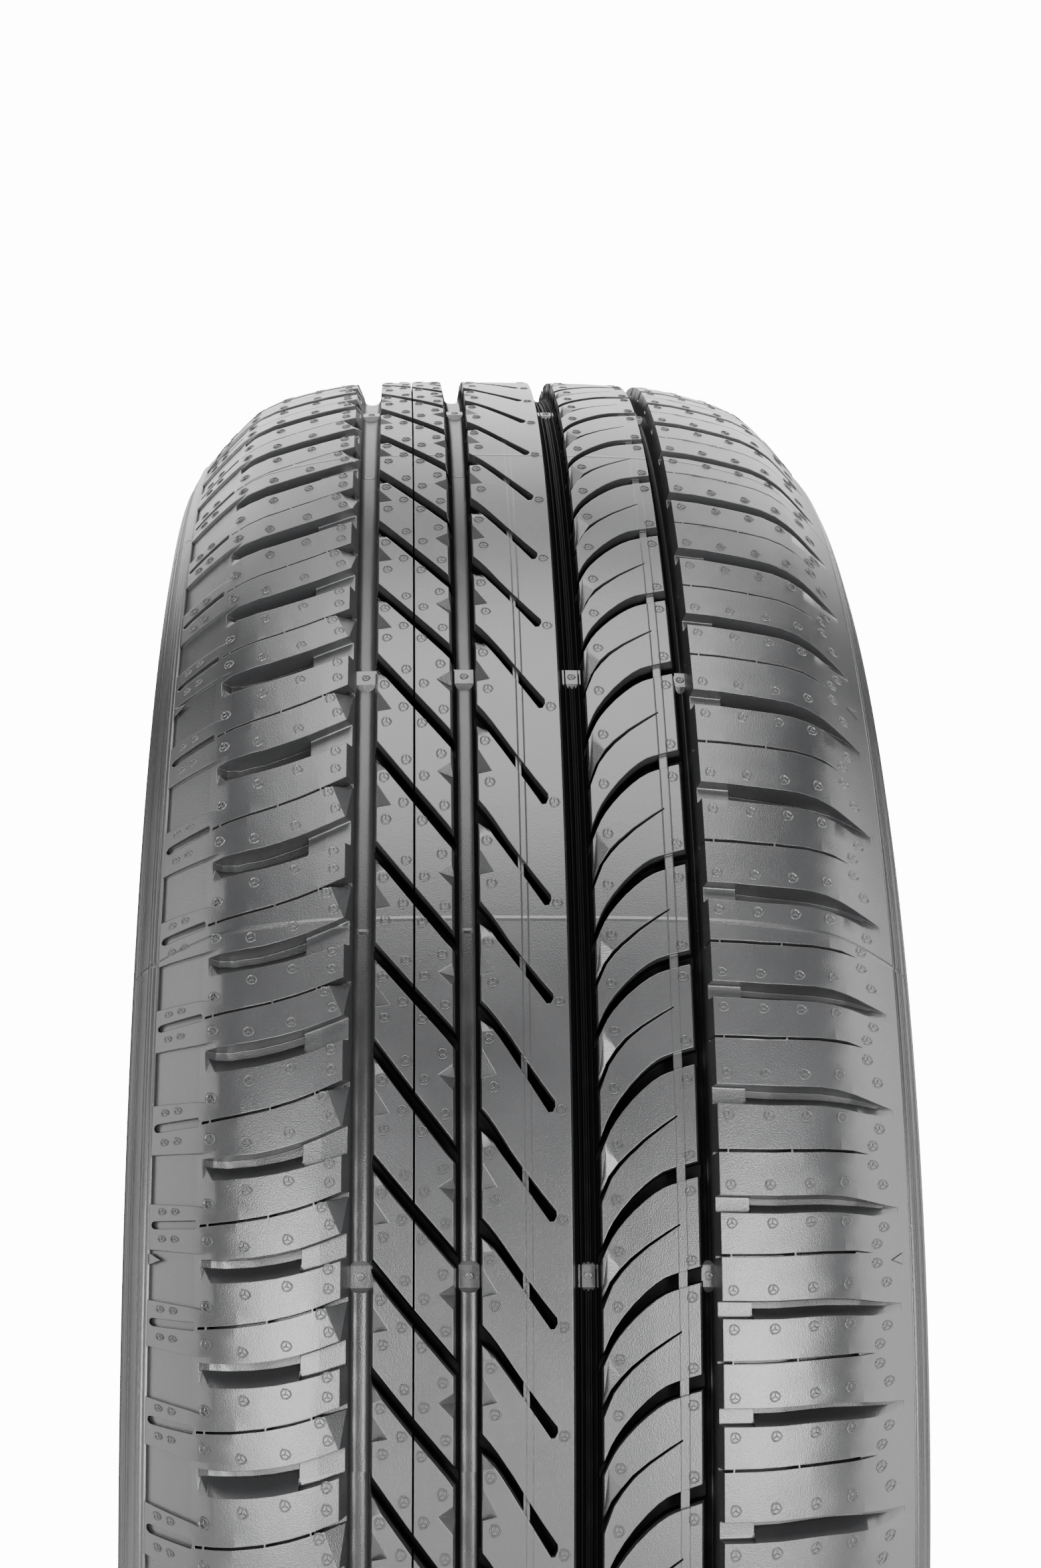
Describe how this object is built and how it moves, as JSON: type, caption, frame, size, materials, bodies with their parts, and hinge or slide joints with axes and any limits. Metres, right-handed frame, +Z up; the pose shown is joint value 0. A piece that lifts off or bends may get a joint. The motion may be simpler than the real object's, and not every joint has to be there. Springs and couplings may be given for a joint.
{
  "type": "car tyre",
  "caption": "Tubeless radial car tyre with an asymmetric ribbed tread, closed outer shoulder pads and slanting cross grooves; it mounts on a wheel rim by its two beads.",
  "frame": {"origin": "centre of the tyre, on its spin axis and midway between the beads", "axes": "+Y is the spin axis and points to the inner side of the tread, away from the closed shoulder pads; +Z is up with the tyre upright as it rolls; +X faces the viewer of the picture"},
  "size_m": [0.738, 0.2318, 0.738],
  "materials": {
    "tyre": "dull black rubber with a fine grain"
  },
  "bodies": {
    "root": {"tyre": "tyre"}
  },
  "joints": []
}
